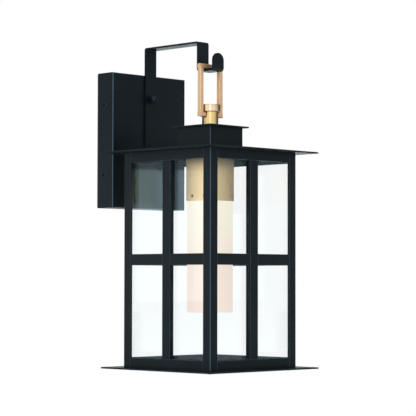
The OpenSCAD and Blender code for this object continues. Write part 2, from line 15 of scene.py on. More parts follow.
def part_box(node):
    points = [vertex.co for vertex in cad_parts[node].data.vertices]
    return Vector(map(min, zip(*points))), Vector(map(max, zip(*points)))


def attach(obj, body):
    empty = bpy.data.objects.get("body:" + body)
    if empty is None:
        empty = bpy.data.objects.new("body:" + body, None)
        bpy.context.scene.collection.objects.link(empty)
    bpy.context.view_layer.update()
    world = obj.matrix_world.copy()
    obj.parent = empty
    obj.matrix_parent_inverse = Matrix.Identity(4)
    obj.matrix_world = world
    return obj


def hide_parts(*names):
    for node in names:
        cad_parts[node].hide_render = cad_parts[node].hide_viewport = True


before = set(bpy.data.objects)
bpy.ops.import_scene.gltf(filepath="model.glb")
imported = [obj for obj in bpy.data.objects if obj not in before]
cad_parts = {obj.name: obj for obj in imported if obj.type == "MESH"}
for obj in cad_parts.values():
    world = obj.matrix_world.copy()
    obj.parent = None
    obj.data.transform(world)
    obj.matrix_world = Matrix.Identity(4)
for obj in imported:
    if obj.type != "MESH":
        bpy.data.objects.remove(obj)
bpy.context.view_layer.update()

MM = 0.001
SAME_POINT = 1e-6
DIAGONAL = 0.7071
Colour = tuple[float, float, float]
log = logging.getLogger("lantern")


class Body(Enum):
    """The moving parts that new pieces ride on."""

    WALL = "wall_part"
    LANTERN = "lantern"


class Slot(Enum):
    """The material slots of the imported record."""

    COAT = "black_coat"
    BRASS = "brushed_brass"
    ZINC = "zinc_steel"
    GREEN = "green_screw"


class Recess(Enum):
    """What a screwdriver turns in a screw's head."""

    SLOT = 1
    CROSS = 2
    HEX = 3


class Grain(Enum):
    """The way a metal surface was brushed, as the stretch of its scratches along X, Y and Z."""

    UPRIGHT = (900.0, 900.0, 14.0)
    TURNED = (30.0, 30.0, 2400.0)
    SATIN = (420.0, 420.0, 420.0)


# ---------- shader maths ----------


@dataclass(frozen=True)
class Signal:
    """A single value in a shader; arithmetic on it adds Math nodes to its tree."""

    tree: "Graph"
    socket: bpy.types.NodeSocket

    def math(self, operation: str, *values: Any, clamp: bool = False) -> "Signal":
        """Adds one Math node.

        Args:
            operation: the Math node's operation.
            values: its inputs in order, numbers or signals.
            clamp: True to keep the result between 0 and 1.

        Returns:
            The node's result.
        """
        settings = {"operation": operation, "use_clamp": clamp}
        node = self.tree.add("ShaderNodeMath", settings, dict(enumerate(values)))
        return Signal(self.tree, node.outputs[0])

    def __add__(self, other: Any) -> "Signal":
        """This plus other."""
        return self.math("ADD", self, other)

    def __radd__(self, other: Any) -> "Signal":
        """Other plus this."""
        return self.math("ADD", other, self)

    def __sub__(self, other: Any) -> "Signal":
        """This minus other."""
        return self.math("SUBTRACT", self, other)

    def __rsub__(self, other: Any) -> "Signal":
        """Other minus this."""
        return self.math("SUBTRACT", other, self)

    def __mul__(self, other: Any) -> "Signal":
        """This times other."""
        return self.math("MULTIPLY", self, other)

    def __rmul__(self, other: Any) -> "Signal":
        """Other times this."""
        return self.math("MULTIPLY", other, self)

    def __truediv__(self, other: Any) -> "Signal":
        """This divided by other."""
        return self.math("DIVIDE", self, other)

    def __pow__(self, other: Any) -> "Signal":
        """This to the power of other."""
        return self.math("POWER", self, other)

    def clipped(self) -> "Signal":
        """This, kept between 0 and 1."""
        return self.math("ADD", self, 0.0, clamp=True)

    def step(self, low: float, high: float) -> "Signal":
        """A smooth step of this from 0 at low to 1 at high."""
        settings = {"interpolation_type": "SMOOTHSTEP"}
        values = {"Value": self, "From Min": low, "From Max": high}
        return Signal(self.tree, self.tree.add("ShaderNodeMapRange", settings, values).outputs[0])


class Graph:
    """The node tree of one material or of the world."""

    def __init__(self, owner: Any) -> None:
        """Empties the owner's node tree.

        Args:
            owner: a material or a world.
        """
        owner.use_nodes = True
        self.nodes = owner.node_tree.nodes
        self.links = owner.node_tree.links
        self.nodes.clear()

    def add(
        self,
        kind: str,
        settings: dict[str, Any] | None = None,
        values: dict[str | int, Any] | None = None,
    ) -> bpy.types.Node:
        """Adds one node.

        Args:
            kind: the node's type.
            settings: properties to set first; "stops" holds a ramp's (place, colour) pairs.
            values: what goes into each socket, by name or number: a signal, a socket or a value.

        Returns:
            The new node.
        """
        node = self.nodes.new(kind)
        for name, value in (settings or {}).items():
            if name == "stops":
                self._fill_ramp(node.color_ramp, value)
            else:
                setattr(node, name, value)
        for key, value in (values or {}).items():
            self._feed(self._input(node, key), value)
        return node

    @staticmethod
    def _fill_ramp(ramp: bpy.types.ColorRamp, stops: Sequence[tuple[float, Colour]]) -> None:
        """Gives a ramp its stops.

        Args:
            ramp: the ramp, which has two stops at first.
            stops: (place, colour) pairs in order.
        """
        while len(ramp.elements) < len(stops):
            ramp.elements.new(1.0)
        for element, (place, colour) in zip(ramp.elements, stops):
            element.position = place
            element.color = (*colour, 1.0)

    @staticmethod
    def _input(node: bpy.types.Node, key: str | int) -> bpy.types.NodeSocket:
        """The node's input of that number, or the enabled one of that name.

        Args:
            node: the node.
            key: a number or a name.

        Returns:
            The input.
        """
        if isinstance(key, int):
            return node.inputs[key]
        return next(s for s in node.inputs if s.name == key and s.enabled)

    def _feed(self, socket: bpy.types.NodeSocket, value: Any) -> None:
        """Links or sets one input.

        Args:
            socket: the input.
            value: a signal or a socket to link, or a value to set.
        """
        if isinstance(value, Signal):
            self.links.new(value.socket, socket)
        elif isinstance(value, bpy.types.NodeSocket):
            self.links.new(value, socket)
        elif isinstance(value, tuple) and socket.type == "RGBA":
            socket.default_value = (*value, 1.0)
        else:
            socket.default_value = value

    def place(self, scale: tuple[float, float, float] = (1.0, 1.0, 1.0)) -> bpy.types.NodeSocket:
        """The point on the object in metres, times a scale.

        Args:
            scale: factors along X, Y and Z.

        Returns:
            The point's socket.
        """
        point = self.add("ShaderNodeTexCoord").outputs["Object"]
        settings = {"operation": "MULTIPLY"}
        return self.add("ShaderNodeVectorMath", settings, {0: point, 1: scale}).outputs[0]

    def noise(
        self,
        scale: float,
        detail: float = 3.0,
        roughness: float = 0.5,
        stretch: tuple[float, float, float] = (1.0, 1.0, 1.0),
    ) -> Signal:
        """Cloudy noise over the object.

        Args:
            scale: how many clouds there are to a metre.
            detail: how many finer layers lie over them.
            roughness: how strong those layers are.
            stretch: factors on the scale along X, Y and Z.

        Returns:
            The noise, about 0.5 in the middle.
        """
        values = {
            "Vector": self.place(stretch),
            "Scale": scale,
            "Detail": detail,
            "Roughness": roughness,
        }
        return Signal(self, self.add("ShaderNodeTexNoise", None, values).outputs[0])

    def edges(self) -> Signal:
        """Where the surface turns: 0 on faces square to X, Y or Z, and 1 on folds and corners."""
        turn = self.add("ShaderNodeTexCoord").outputs["Normal"]
        size = self.add("ShaderNodeVectorMath", {"operation": "ABSOLUTE"}, {0: turn}).outputs[0]
        parts = self.add("ShaderNodeSeparateXYZ", None, {0: size}).outputs
        x, y, z = (Signal(self, parts[k]) for k in range(3))
        return (1.0 - x.math("MAXIMUM", x.math("MAXIMUM", x, y), z)).step(0.02, 0.16)

    def mix(self, factor: Signal, first: Any, second: Any) -> bpy.types.NodeSocket:
        """A colour between two colours.

        Args:
            factor: 0 for the first, 1 for the second.
            first: a colour or a colour socket.
            second: a colour or a colour socket.

        Returns:
            The mixed colour.
        """
        settings = {"data_type": "RGBA"}
        node = self.add("ShaderNodeMix", settings, {"Factor": factor, "A": first, "B": second})
        return node.outputs[2]

    def bump(self, height: Signal, depth: float, strength: float = 1.0) -> bpy.types.NodeSocket:
        """A normal from a height.

        Args:
            height: the height, 0 to 1.
            depth: what 1 stands for, in metres.
            strength: how much of it shows.

        Returns:
            The bumped normal.
        """
        values = {"Strength": strength, "Distance": depth, "Height": height}
        return self.add("ShaderNodeBump", None, values).outputs[0]

    def finish(self, shader: bpy.types.NodeSocket, kind: str = "ShaderNodeOutputMaterial") -> None:
        """Sends a shader to the output."""
        self.add(kind, None, {"Surface": shader})


# ---------- finishes ----------


@dataclass(frozen=True)
class Finish:
    """A surface finish; each kind fills in the nodes of its material."""

    name: str

    def material(self) -> bpy.types.Material:
        """Makes the material."""
        made = bpy.data.materials.new(self.name)
        graph = Graph(made)
        graph.finish(self.shader(graph))
        return made

    def shader(self, graph: Graph) -> bpy.types.NodeSocket:
        """Builds the surface shader.

        Args:
            graph: the material's tree.

        Returns:
            The shader's output.
        """
        raise NotImplementedError


@dataclass(frozen=True)
class PowderCoat(Finish):
    """Black textured powder coat on steel, with a faint film of dust and a painted highlight on its folds
    and edges.
    """

    paint: Colour = (0.0030, 0.0075, 0.0115)
    dust: Colour = (0.0080, 0.0150, 0.0200)
    # painted highlight: the lighter, bluer colour given to folds and edges
    fold_highlight_colour: Colour = (0.0850, 0.1400, 0.1850)
    roughness: float = 0.42
    specular: float = 0.17
    fold_highlight_amount: float = 1.0

    def shader(self, graph: Graph) -> bpy.types.NodeSocket:
        """Grains a millimetre apart, patches of dust and of gloss, and a painted highlight on folds and
        edges.
        """
        grain = graph.noise(900.0, 2.0, 0.55)
        pebble = graph.noise(420.0, 3.0, 0.6)
        patch = graph.noise(14.0, 4.0, 0.6)
        veil = (patch.step(0.42, 0.72) * 0.7 + pebble * 0.3).clipped()
        # painted highlight: folds and edges get a lighter colour and a little less roughness, standing in
        # for light glinting off them
        painted_fold_highlight = graph.edges() * (0.85 + (patch - 0.5) * 0.6) * self.fold_highlight_amount
        colour = graph.mix(veil, self.paint, self.dust)
        values = {
            "Base Color": graph.mix(painted_fold_highlight.clipped(), colour, self.fold_highlight_colour),
            "Roughness": self.roughness + (patch - 0.5) * 0.16 + (pebble - 0.5) * 0.1 - painted_fold_highlight * 0.08,
            "Specular IOR Level": self.specular,
            "Specular Tint": (0.78, 0.93, 1.0),
            "Normal": graph.bump(grain * 0.5 + pebble * 0.5, 0.00006, 0.55),
        }
        return graph.add("ShaderNodeBsdfPrincipled", None, values).outputs[0]


@dataclass(frozen=True)
class BrushedBrass(Finish):
    """Satin brass with fine scratches and a slight uneven tarnish."""

    grain: Grain = Grain.SATIN
    bright: Colour = (0.93, 0.65, 0.38)
    tarnish: Colour = (0.86, 0.57, 0.32)
    roughness: float = 0.30

    def shader(self, graph: Graph) -> bpy.types.NodeSocket:
        """Scratches along the grain, and clouds of tarnish."""
        scratches = graph.noise(1.0, 4.0, 0.65, self.grain.value)
        cloud = graph.noise(38.0, 4.0, 0.6)
        aged = (cloud.step(0.35, 0.75) * 0.75 + scratches * 0.25).clipped()
        values = {
            "Base Color": graph.mix(aged, self.bright, self.tarnish),
            "Metallic": 1.0,
            "Roughness": self.roughness + (scratches - 0.5) * 0.16 + (cloud - 0.5) * 0.10,
            "Normal": graph.bump(scratches, 0.00004, 0.5),
        }
        return graph.add("ShaderNodeBsdfPrincipled", None, values).outputs[0]


@dataclass(frozen=True)
class ZincSteel(Finish):
    """Zinc plated steel with its crystal spangle."""

    light: Colour = (0.62, 0.64, 0.66)
    dark: Colour = (0.40, 0.42, 0.45)
    roughness: float = 0.34

    def shader(self, graph: Graph) -> bpy.types.NodeSocket:
        """Crystals a few millimetres wide that differ in tone and gloss."""
        settings = {"feature": "F1"}
        values = {"Vector": graph.place(), "Scale": 260.0}
        crystal = graph.add("ShaderNodeTexVoronoi", settings, values).outputs["Color"]
        tone = Signal(graph, graph.add("ShaderNodeSeparateColor", None, {0: crystal}).outputs[0])
        fine = graph.noise(700.0, 3.0)
        values = {
            "Base Color": graph.mix(tone * 0.8 + fine * 0.2, self.light, self.dark),
            "Metallic": 1.0,
            "Roughness": self.roughness + (tone - 0.5) * 0.14,
            "Normal": graph.bump(fine, 0.00003, 0.4),
        }
        return graph.add("ShaderNodeBsdfPrincipled", None, values).outputs[0]


@dataclass(frozen=True)
class PaneGlass(Finish):
    """Clear float glass: it lets through what lies behind and mirrors a little of the room."""

    mirror: float = 0.033
    sheen: Colour = (0.66, 0.90, 1.0)
    tint: Colour = (0.998, 1.0, 0.999)

    def shader(self, graph: Graph) -> bpy.types.NodeSocket:
        """A mirror over a clear sheet, by the angle it is seen at."""
        weight = graph.add("ShaderNodeLayerWeight", None, {"Blend": 0.5})
        facing = Signal(graph, weight.outputs["Facing"])
        haze = graph.noise(30.0, 3.0)
        share = self.mirror + (1.0 - self.mirror) * facing ** 5.0
        clear = graph.add("ShaderNodeBsdfTransparent", None, {"Color": self.tint})
        values = {"Color": self.sheen, "Roughness": 0.01 + haze * 0.02}
        gloss = graph.add("ShaderNodeBsdfGlossy", {"distribution": "GGX"}, values)
        parts = {0: share, 1: clear.outputs[0], 2: gloss.outputs[0]}
        return graph.add("ShaderNodeMixShader", None, parts).outputs[0]


@dataclass(frozen=True)
class LitOpal(Finish):
    """Opal glass with a painted glow that stands in for the lamp inside, whiter near the lamp and warmer
    towards its foot.
    """

    top: float = 0.0
    foot: float = -0.1
    power: float = 0.78

    def shader(self, graph: Graph) -> bpy.types.NodeSocket:
        """A painted glow that changes with height under a smooth skin."""
        point = graph.add("ShaderNodeTexCoord").outputs["Object"]
        height = Signal(graph, graph.add("ShaderNodeSeparateXYZ", None, {0: point}).outputs[2])
        down = (self.top - height) / (self.top - self.foot)
        cloud = graph.noise(24.0, 2.0)
        stops = (
            (0.0, (1.0, 0.97, 0.80)),
            (0.30, (1.0, 0.93, 0.74)),
            (0.62, (1.0, 0.82, 0.70)),
            (1.0, (1.0, 0.80, 0.71)),
        )
        glow = graph.add("ShaderNodeValToRGB", {"stops": stops}, {0: down + (cloud - 0.5) * 0.05})
        values = {
            "Base Color": graph.mix(cloud, (0.30, 0.29, 0.27), (0.27, 0.26, 0.24)),
            "Roughness": 0.16 + (cloud - 0.5) * 0.06,
            # painted glow: emission stands in for the bulb's light shining through the glass
            "Emission Color": glow.outputs[0],
            "Emission Strength": self.power,
            "Coat Weight": 0.3,
            "Coat Roughness": 0.05,
        }
        return graph.add("ShaderNodeBsdfPrincipled", None, values).outputs[0]


@dataclass(frozen=True)
class FrostedBulb(Finish):
    """The lit bulb's frosted glass."""

    warm: Colour = (1.0, 0.86, 0.62)

    def shader(self, graph: Graph) -> bpy.types.NodeSocket:
        """A warm glow with a slightly uneven frost."""
        frost = graph.noise(160.0, 3.0)
        values = {
            "Base Color": graph.mix(frost, (0.85, 0.83, 0.78), (0.76, 0.74, 0.70)),
            "Roughness": 0.45 + (frost - 0.5) * 0.2,
            "Emission Color": self.warm,
            "Emission Strength": 3.0,
        }
        return graph.add("ShaderNodeBsdfPrincipled", None, values).outputs[0]


@dataclass(frozen=True)
class Porcelain(Finish):
    """Glazed white porcelain with a little crazing in its glaze."""

    def shader(self, graph: Graph) -> bpy.types.NodeSocket:
        """Off-white clay under a glossy glaze."""
        cloud = graph.noise(90.0, 4.0)
        values = {
            "Base Color": graph.mix(cloud, (0.80, 0.78, 0.72), (0.70, 0.67, 0.60)),
            "Roughness": 0.22 + (cloud - 0.5) * 0.12,
            "Coat Weight": 0.5,
            "Normal": graph.bump(cloud, 0.0001, 0.3),
        }
        return graph.add("ShaderNodeBsdfPrincipled", None, values).outputs[0]


@dataclass(frozen=True)
class Rubber(Finish):
    """Black rubber, dull and slightly dusty."""

    def shader(self, graph: Graph) -> bpy.types.NodeSocket:
        """Dull black with grey bloom."""
        bloom = graph.noise(300.0, 4.0, 0.6)
        values = {
            "Base Color": graph.mix(bloom, (0.010, 0.010, 0.011), (0.028, 0.028, 0.029)),
            "Roughness": 0.72 + (bloom - 0.5) * 0.2,
            "Specular IOR Level": 0.35,
            "Normal": graph.bump(bloom, 0.00008, 0.5),
        }
        return graph.add("ShaderNodeBsdfPrincipled", None, values).outputs[0]


@dataclass(frozen=True)
class Foam(Finish):
    """Closed cell foam, dark grey and pitted."""

    def shader(self, graph: Graph) -> bpy.types.NodeSocket:
        """Cells half a millimetre wide."""
        values = {"Vector": graph.place(), "Scale": 1800.0}
        cells = Signal(graph, graph.add("ShaderNodeTexVoronoi", None, values).outputs["Distance"])
        values = {
            "Base Color": graph.mix(cells.clipped(), (0.012, 0.012, 0.013), (0.045, 0.045, 0.046)),
            "Roughness": 0.85 + (cells - 0.5) * 0.1,
            "Normal": graph.bump(cells, 0.0002, 0.6),
        }
        return graph.add("ShaderNodeBsdfPrincipled", None, values).outputs[0]


@dataclass(frozen=True)
class GreenPaint(Finish):
    """The green dip of an earth screw."""

    def shader(self, graph: Graph) -> bpy.types.NodeSocket:
        """Green paint, thin in places."""
        thin = graph.noise(500.0, 4.0, 0.6)
        values = {
            "Base Color": graph.mix(thin, (0.02, 0.22, 0.06), (0.05, 0.32, 0.10)),
            "Roughness": 0.40 + (thin - 0.5) * 0.2,
            "Normal": graph.bump(thin, 0.00003, 0.4),
        }
        return graph.add("ShaderNodeBsdfPrincipled", None, values).outputs[0]


@dataclass(frozen=True)
class PaleFloor(Finish):
    """Plain pale matt floor."""

    def shader(self, graph: Graph) -> bpy.types.NodeSocket:
        """Nearly white, with very faint clouds."""
        cloud = graph.noise(1.5, 3.0)
        values = {
            "Base Color": graph.mix(cloud, (0.80, 0.80, 0.80), (0.76, 0.76, 0.76)),
            "Roughness": 0.75 + (cloud - 0.5) * 0.1,
            "Emission Color": (1.0, 1.0, 1.0),
            "Emission Strength": 0.35,
        }
        return graph.add("ShaderNodeBsdfPrincipled", None, values).outputs[0]


# ---------- mesh helpers ----------


def new_object(name: str, shape: bmesh.types.BMesh) -> bpy.types.Object:
    """Turns a bmesh into an object in the scene.

    Args:
        name: the object's name.
        shape: the mesh, which is freed.

    Returns:
        The object.
    """
    bmesh.ops.recalc_face_normals(shape, faces=shape.faces)
    mesh = bpy.data.meshes.new(name)
    shape.to_mesh(mesh)
    shape.free()
    made = bpy.data.objects.new(name, mesh)
    bpy.context.scene.collection.objects.link(made)
    return made


def lathe(profile: Sequence[tuple[float, float]], sides: int) -> bmesh.types.BMesh:
    """Turns a profile round the Z axis into a closed solid.

    Args:
        profile: (radius, height) points from the axis at one end to the axis at the other.
        sides: how many flats make a full turn.

    Returns:
        The solid.
    """
    shape = bmesh.new()
    rings: list[list[bmesh.types.BMVert]] = []
    for radius, height in profile:
        if radius < 1e-9:
            rings.append([shape.verts.new((0.0, 0.0, height))])
            continue
        turns = [2 * math.pi * k / sides for k in range(sides)]
        rings.append([shape.verts.new((radius * math.cos(t), radius * math.sin(t), height)) for t in turns])
    for low, high in zip(rings, rings[1:]):
        for k in range(sides):
            ends = [low[k % len(low)], low[(k + 1) % len(low)]]
            ends += [high[(k + 1) % len(high)], high[k % len(high)]]
            corners = list(dict.fromkeys(ends))
            if len(corners) > 2:
                shape.faces.new(corners)
    return shape


def prism(outline: Sequence[tuple[float, float]], low: float, high: float) -> bmesh.types.BMesh:
    """An upright solid on an outline.

    Args:
        outline: its corners in order.
        low: the height of its foot.
        high: the height of its top.

    Returns:
        The solid.
    """
    shape = bmesh.new()
    foot = [shape.verts.new((x, y, low)) for x, y in outline]
    top = [shape.verts.new((x, y, high)) for x, y in outline]
    shape.faces.new(foot)
    shape.faces.new(top)
    for k in range(len(outline)):
        after = (k + 1) % len(outline)
        shape.faces.new((foot[k], foot[after], top[after], top[k]))
    return shape


def carve(body: bpy.types.Object, cutter: bpy.types.Object) -> None:
    """Cuts one object out of another for good and removes the cutter.

    Args:
        body: the object that is cut.
        cutter: the object that cuts.
    """
    cut = body.modifiers.new("cut", "BOOLEAN")
    cut.operation = "DIFFERENCE"
    cut.object = cutter
    depsgraph = bpy.context.evaluated_depsgraph_get()
    mesh = bpy.data.meshes.new_from_object(body.evaluated_get(depsgraph))
    body.modifiers.remove(cut)
    old = body.data
    body.data = mesh
    bpy.data.meshes.remove(old)
    spare = cutter.data
    bpy.data.objects.remove(cutter)
    bpy.data.meshes.remove(spare)


def dress(thing: bpy.types.Object, material: bpy.types.Material) -> None:
    """Puts one material in every material slot of an object.

    Args:
        thing: the object.
        material: what it gets.
    """
    if not thing.material_slots:
        thing.data.materials.append(material)
    for place in thing.material_slots:
        place.material = material


def solids_of(node: str) -> list[tuple[Vector, Vector]]:
    """Finds the separate solids of a CAD node.

    Args:
        node: the node's name.

    Returns:
        The lowest and highest corners of each solid, in a steady order.
    """
    shape = bmesh.new()
    shape.from_mesh(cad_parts[node].data)
    bmesh.ops.remove_doubles(shape, verts=shape.verts, dist=SAME_POINT)
    unseen = set(shape.verts)
    boxes: list[tuple[Vector, Vector]] = []
    for seed in list(shape.verts):
        if seed not in unseen:
            continue
        unseen.discard(seed)
        island = [seed]
        for vert in island:
            for edge in vert.link_edges:
                other = edge.other_vert(vert)
                if other in unseen:
                    unseen.discard(other)
                    island.append(other)
        corners = [[vert.co[axis] for vert in island] for axis in range(3)]
        boxes.append((Vector(map(min, corners)), Vector(map(max, corners))))
    shape.free()
    return sorted(boxes, key=lambda box: tuple(round(v, 5) for v in (*box[0], *box[1])))


class Softener:
    """Takes the sharpness off the edges of CAD nodes and smooths their shading."""

    FLAT_ANGLE = math.radians(0.3)
    SHARP_ANGLE = math.radians(35.0)
    FACE_WEIGHT = 50

    def __init__(self) -> None:
        """Makes the node group that shades every face smooth."""
        group = bpy.data.node_groups.new("shade_smooth", "GeometryNodeTree")
        for side in ("INPUT", "OUTPUT"):
            group.interface.new_socket("Geometry", in_out=side, socket_type="NodeSocketGeometry")
        entry = group.nodes.new("NodeGroupInput")
        smooth = group.nodes.new("GeometryNodeSetShadeSmooth")
        leave = group.nodes.new("NodeGroupOutput")
        group.links.new(entry.outputs[0], smooth.inputs[0])
        group.links.new(smooth.outputs[0], leave.inputs[0])
        self.group = group

    def apply(self, thing: bpy.types.Object, radius: float, segments: int = 2) -> None:
        """Rounds the sharp edges of an object.

        Args:
            thing: the object.
            radius: how far the rounding reaches from each edge, in metres.
            segments: how many facets make each rounding.
        """
        weld = thing.modifiers.new("weld", "WELD")
        weld.merge_threshold = SAME_POINT
        flat = thing.modifiers.new("flats", "DECIMATE")
        flat.decimate_type = "DISSOLVE"
        flat.angle_limit = self.FLAT_ANGLE
        smooth = thing.modifiers.new("smooth", "NODES")
        smooth.node_group = self.group
        edge = thing.modifiers.new("edges", "BEVEL")
        edge.width = radius
        edge.segments = segments
        edge.limit_method = "ANGLE"
        edge.angle_limit = self.SHARP_ANGLE
        edge.miter_outer = "MITER_ARC"
        weights = thing.modifiers.new("normals", "WEIGHTED_NORMAL")
        weights.weight = self.FACE_WEIGHT
        weights.keep_sharp = False


# ---------- small hardware ----------


@dataclass(frozen=True)
class Screw:
    """One screw, its domed head on top of z = 0 and its shank below."""

    head: float
    rise: float
    shank: float
    length: float
    recess: Recess
    sides: int = 32
    dome_steps: int = 8
    point: float = 0.3 * MM
    recess_floor: float = 0.42
    recess_reach: float = 0.33
    recess_half_width: float = 0.07
    hex_reach: float = 0.8

    def build(self) -> bmesh.types.BMesh:
        """Turns the screw and cuts the recess in its head.

        Returns:
            The screw's mesh.
        """
        steps = self.dome_steps
        radius = self.head / 2
        ball = (radius * radius + self.rise * self.rise) / (2 * self.rise)
        reach = math.asin(radius / ball)
        dome = []
        for k in range(steps + 1):
            turn = reach * (1 - k / steps)
            dome.append((ball * math.sin(turn), self.rise - ball + ball * math.cos(turn)))
        foot = [(0.0, -self.length), (self.shank / 2 - self.point, -self.length)]
        foot += [(self.shank / 2, self.point - self.length), (self.shank / 2, 0.0)]
        profile = [*foot, *dome[:-1], (0.0, self.rise)]
        blank = new_object("blank", lathe(profile, self.sides))
        for cutter in self._cutters():
            carve(blank, new_object("cutter", cutter))
        shape = bmesh.new()
        shape.from_mesh(blank.data)
        mesh = blank.data
        bpy.data.objects.remove(blank)
        bpy.data.meshes.remove(mesh)
        return shape

    def _cutters(self) -> list[bmesh.types.BMesh]:
        """The solids that cut the recess.

        Returns:
            One solid for a hex or a slot, and two bars for a cross.
        """
        low, high = self.rise * self.recess_floor, self.rise * 2
        long, thin = self.head * self.recess_reach, self.head * self.recess_half_width
        if self.recess is Recess.SLOT:
            long = self.head
        if self.recess is Recess.HEX:
            turns = [math.pi * k / 3 for k in range(6)]
            reach = long * self.hex_reach
            outline = [(reach * math.cos(t), reach * math.sin(t)) for t in turns]
            return [prism(outline, low, high)]
        bars = [prism([(-long, -thin), (long, -thin), (long, thin), (-long, thin)], low, high)]
        if self.recess is Recess.CROSS:
            bars.append(prism([(-thin, -long), (thin, -long), (thin, long), (-thin, long)], low, high))
        return bars


@dataclass
class ScrewSet:
    """All the screws of one CAD node, made again with driven heads."""

    node: str
    body: Body
    slot: Slot
    rise: float
    shank: float
    recess: Recess
    outward: Callable[[Vector], Vector]
    softener: Softener
    material: bpy.types.Material
    edge: float = 0.15
    first_turn: float = 0.4
    next_turn: float = 0.7
    name: str = field(init=False)

    def __post_init__(self) -> None:
        """Names the piece after its node."""
        self.name = f"{self.node}_driven"

    def build(self) -> bpy.types.Object:
        """Places a screw over each solid of the node and replaces the node.

        Returns:
            The finished piece.
        """
        whole = bmesh.new()
        for number, (low, high) in enumerate(solids_of(self.node)):
            middle, size = (low + high) / 2, high - low
            out = self.outward(middle)
            along = next(k for k in range(3) if abs(out[k]) > 0.5)
            head = size[(along + 1) % 3]
            tip = middle + out * size[along] / 2
            length = size[along] - self.rise
            screw = Screw(head, self.rise, self.shank, length, self.recess).build()
            spin = Matrix.Rotation(self.next_turn * number + self.first_turn, 4, "Z")
            turn = Vector((0, 0, 1)).rotation_difference(out).to_matrix().to_4x4()
            shift = Matrix.Translation(tip - out * self.rise)
            screw.transform(shift @ turn @ spin)
            part = bpy.data.meshes.new("part")
            screw.to_mesh(part)
            screw.free()
            whole.from_mesh(part)
            bpy.data.meshes.remove(part)
        made = new_object(self.name, whole)
        dress(made, self.material)
        self.softener.apply(made, self.edge * MM, 1)
        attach(made, self.body.value)
        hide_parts(self.node)
        return made


# ---------- sub-assemblies ----------


@dataclass
class Workshop:
    """The finishes and tools that the sub-assemblies share."""

    softener: Softener = field(default_factory=Softener)
    coat: bpy.types.Material = field(default_factory=PowderCoat("powder_coat").material)
    satin: bpy.types.Material = field(
        default_factory=BrushedBrass(
            "satin_brass", Grain.SATIN, (0.98, 0.70, 0.43), (0.91, 0.61, 0.36), 0.58
        ).material
    )
    turned: bpy.types.Material = field(
        default_factory=BrushedBrass(
            "turned_brass", Grain.TURNED, (0.68, 0.50, 0.23), (0.60, 0.43, 0.17), 0.20
        ).material
    )
    pale: bpy.types.Material = field(
        default_factory=BrushedBrass(
            "pale_brass", Grain.TURNED, (0.74, 0.58, 0.42), (0.66, 0.50, 0.33), 0.20
        ).material
    )
    bronze: bpy.types.Material = field(
        default_factory=BrushedBrass(
            "dark_bronze", Grain.SATIN, (0.26, 0.17, 0.08), (0.18, 0.11, 0.05), 0.34
        ).material
    )
    # strap, cap nut and side screws: the same coat with a weaker painted highlight on folds and edges
    plain_coat: bpy.types.Material = field(
        default_factory=PowderCoat("strap_coat", fold_highlight_amount=0.18).material
    )
    brushed: bpy.types.Material = field(
        default_factory=BrushedBrass(
            "brushed_brass", Grain.UPRIGHT, (0.97, 0.73, 0.40), (0.92, 0.68, 0.35), 0.30
        ).material
    )
    zinc: bpy.types.Material = field(default_factory=ZincSteel("zinc_steel").material)
    rubber: bpy.types.Material = field(default_factory=Rubber("rubber").material)

    def finish(self, nodes: Iterable[str], material: bpy.types.Material, radius: float) -> None:
        """Dresses CAD nodes and softens their edges.

        Args:
            nodes: the nodes' names.
            material: what they get.
            radius: the rounding of their edges in millimetres, 0 for none.
        """
        for node in nodes:
            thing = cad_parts[node]
            dress(thing, material)
            if radius > 0:
                self.softener.apply(thing, radius * MM)
            log.info("dressed %s with %s", node, material.name)


@dataclass
class WallFitting:
    """The backplate with what holds it on the wall, and the strap bolted to it."""

    shop: Workshop
    edge: float = 0.35
    strap_edge: float = 0.45
    nut_edge: float = 0.3
    steel_edge: float = 0.25

    def build(self) -> None:
        """Dresses the fixed parts and makes their screws again."""
        shop = self.shop
        shop.finish(["wall_gasket"], Foam("foam").material(), 0.0)
        shop.finish(["mounting_bracket", "backing_plate", "arm_bolt"], shop.zinc, self.steel_edge)
        shop.finish(["backplate"], shop.coat, self.edge)
        shop.finish(["hook_arm"], shop.plain_coat, self.strap_edge)
        shop.finish(["arm_cap_nut"], shop.plain_coat, self.nut_edge)
        shop.finish(["backplate_bushing"], shop.rubber, self.steel_edge)
        self._screws()

    def _screws(self) -> None:
        """Side screws, arm screw and earth screw."""
        soft, coat = self.shop.softener, self.shop.coat
        front = Vector((0, -1, 0))
        green = GreenPaint("green_paint").material()
        sets = (
            ScrewSet("side_screws", Body.WALL, Slot.COAT, 2.6 * MM, 4 * MM, Recess.CROSS,
                     lambda at: Vector((math.copysign(1, at.x), 0, 0)), soft, self.shop.plain_coat),
            ScrewSet("arm_screw", Body.WALL, Slot.COAT, 3 * MM, 5 * MM, Recess.HEX,
                     lambda at: front, soft, coat),
            ScrewSet("ground_screw", Body.WALL, Slot.GREEN, 2.6 * MM, 4 * MM, Recess.CROSS,
                     lambda at: front, soft, green),
        )
        for screws in sets:
            screws.build()
            log.info("made %s", screws.name)


@dataclass
class HangingLink:
    """The square brass link between the hook and the hub."""

    shop: Workshop
    edge: float = 0.6

    def build(self) -> None:
        """Dresses the link."""
        self.shop.finish(["link"], self.shop.satin, self.edge)


@dataclass
class Hub:
    """The turned brass hub, and the neck under it."""

    shop: Workshop
    edge: float = 0.35
    rod_edge: float = 0.3
    neck_edge: float = 0.4

    def build(self) -> None:
        """Dresses the hub, the rod and the neck."""
        shop = self.shop
        shop.finish(["hub_cap"], shop.pale, self.edge)
        shop.finish(["hub_stem"], shop.turned, self.edge)
        shop.finish(["tie_rod"], shop.zinc, self.rod_edge)
        shop.finish(["neck_plate", "neck_box"], shop.coat, self.neck_edge)


